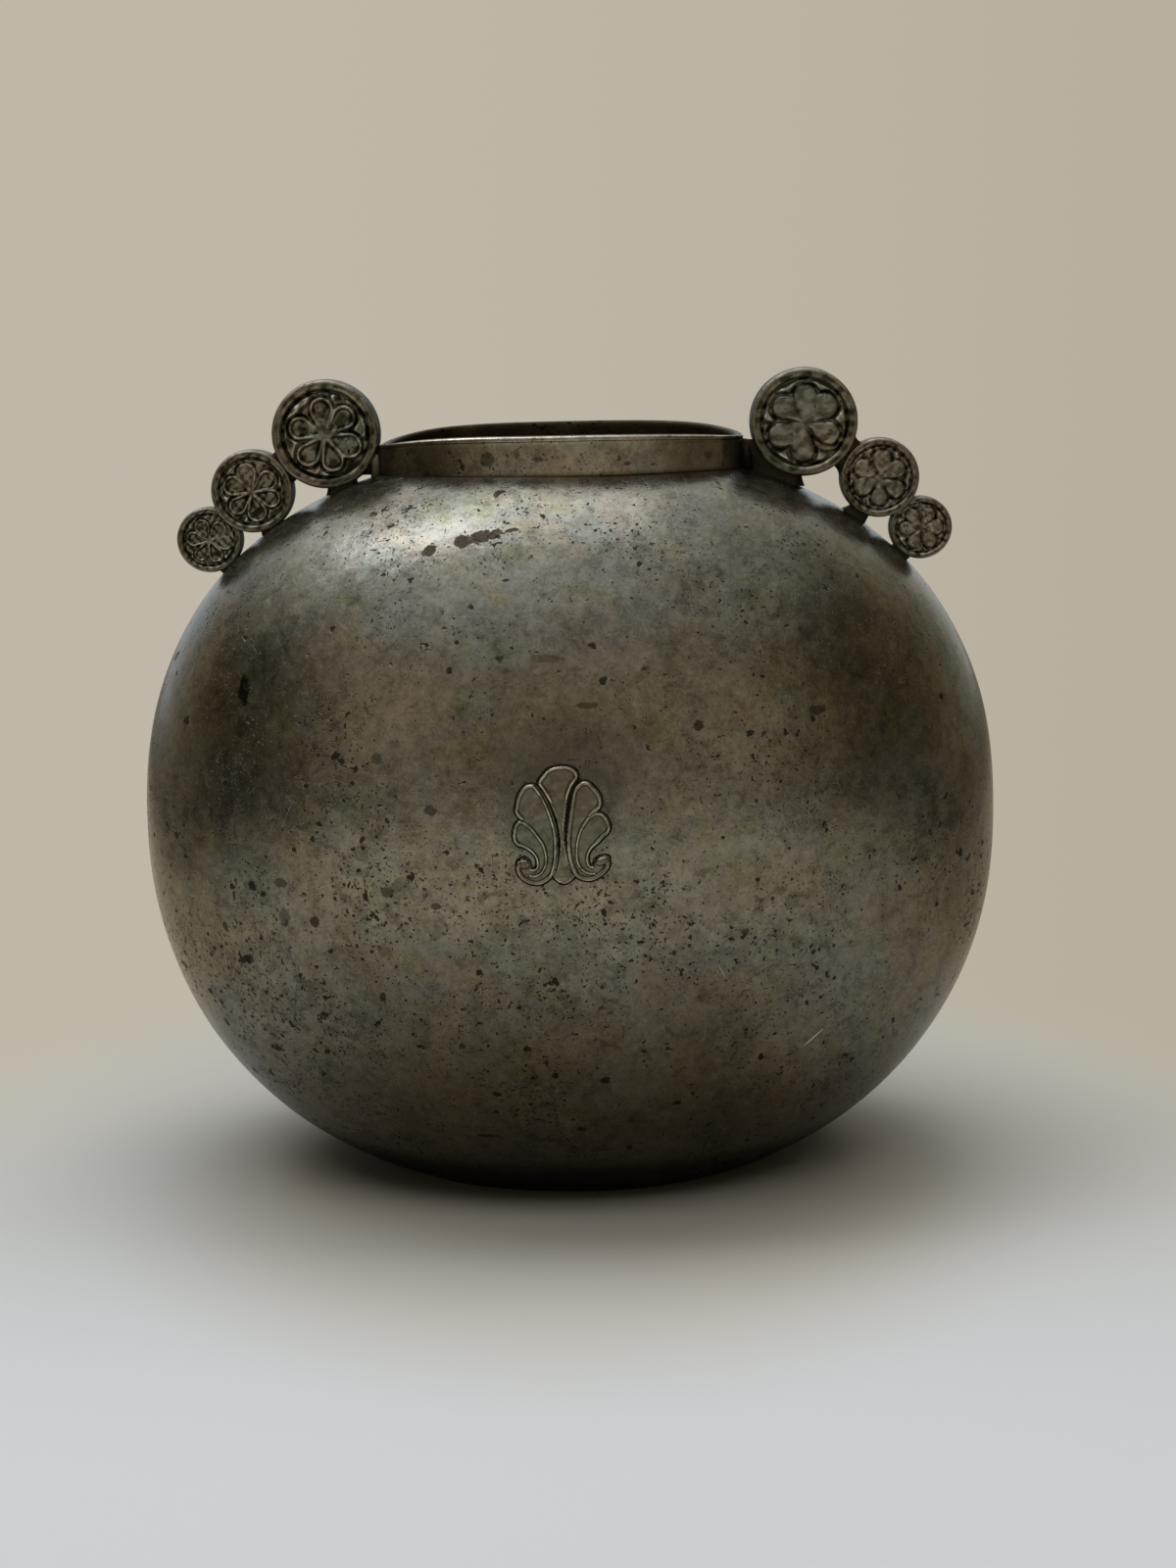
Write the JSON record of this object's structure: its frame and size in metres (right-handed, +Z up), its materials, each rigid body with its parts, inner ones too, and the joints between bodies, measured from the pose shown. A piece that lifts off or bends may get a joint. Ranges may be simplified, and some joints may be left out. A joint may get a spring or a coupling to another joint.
{
  "type": "pewter vase",
  "caption": "Flattened round pewter vase with an upright oval neck, handles of graded rosettes on its shoulders and a small palmette on the front. Holds cut flowers.",
  "frame": {"origin": "centre of the base plate's underside, on the surface that the vase stands on", "axes": "+Z up through the neck, +X along the line of the handles, -Y out of the front with the palmette"},
  "size_m": [0.18, 0.1129, 0.1687],
  "materials": {
    "body_front": "aged pewter, satin, warm grey-brown with small dark pits",
    "body_back": "aged pewter, satin, warm grey-brown with small dark pits",
    "base_plate": "aged pewter, dull and dark, scuffed where it stands",
    "neck_collar": "aged pewter, satin, with a bright worn lip and a dark inside",
    "handle_left": "cast pewter, darker, with brighter worn edges and dark hollows",
    "handle_right": "cast pewter, darker, with brighter worn edges and dark hollows",
    "palmette": "cast pewter, satin, with worn bright ridges and dark grooves"
  },
  "bodies": {
    "root": {"body_front": "body_front", "body_back": "body_back", "base_plate": "base_plate", "neck_collar": "neck_collar", "handle_left": "handle_left", "handle_right": "handle_right", "palmette": "palmette"}
  },
  "joints": []
}
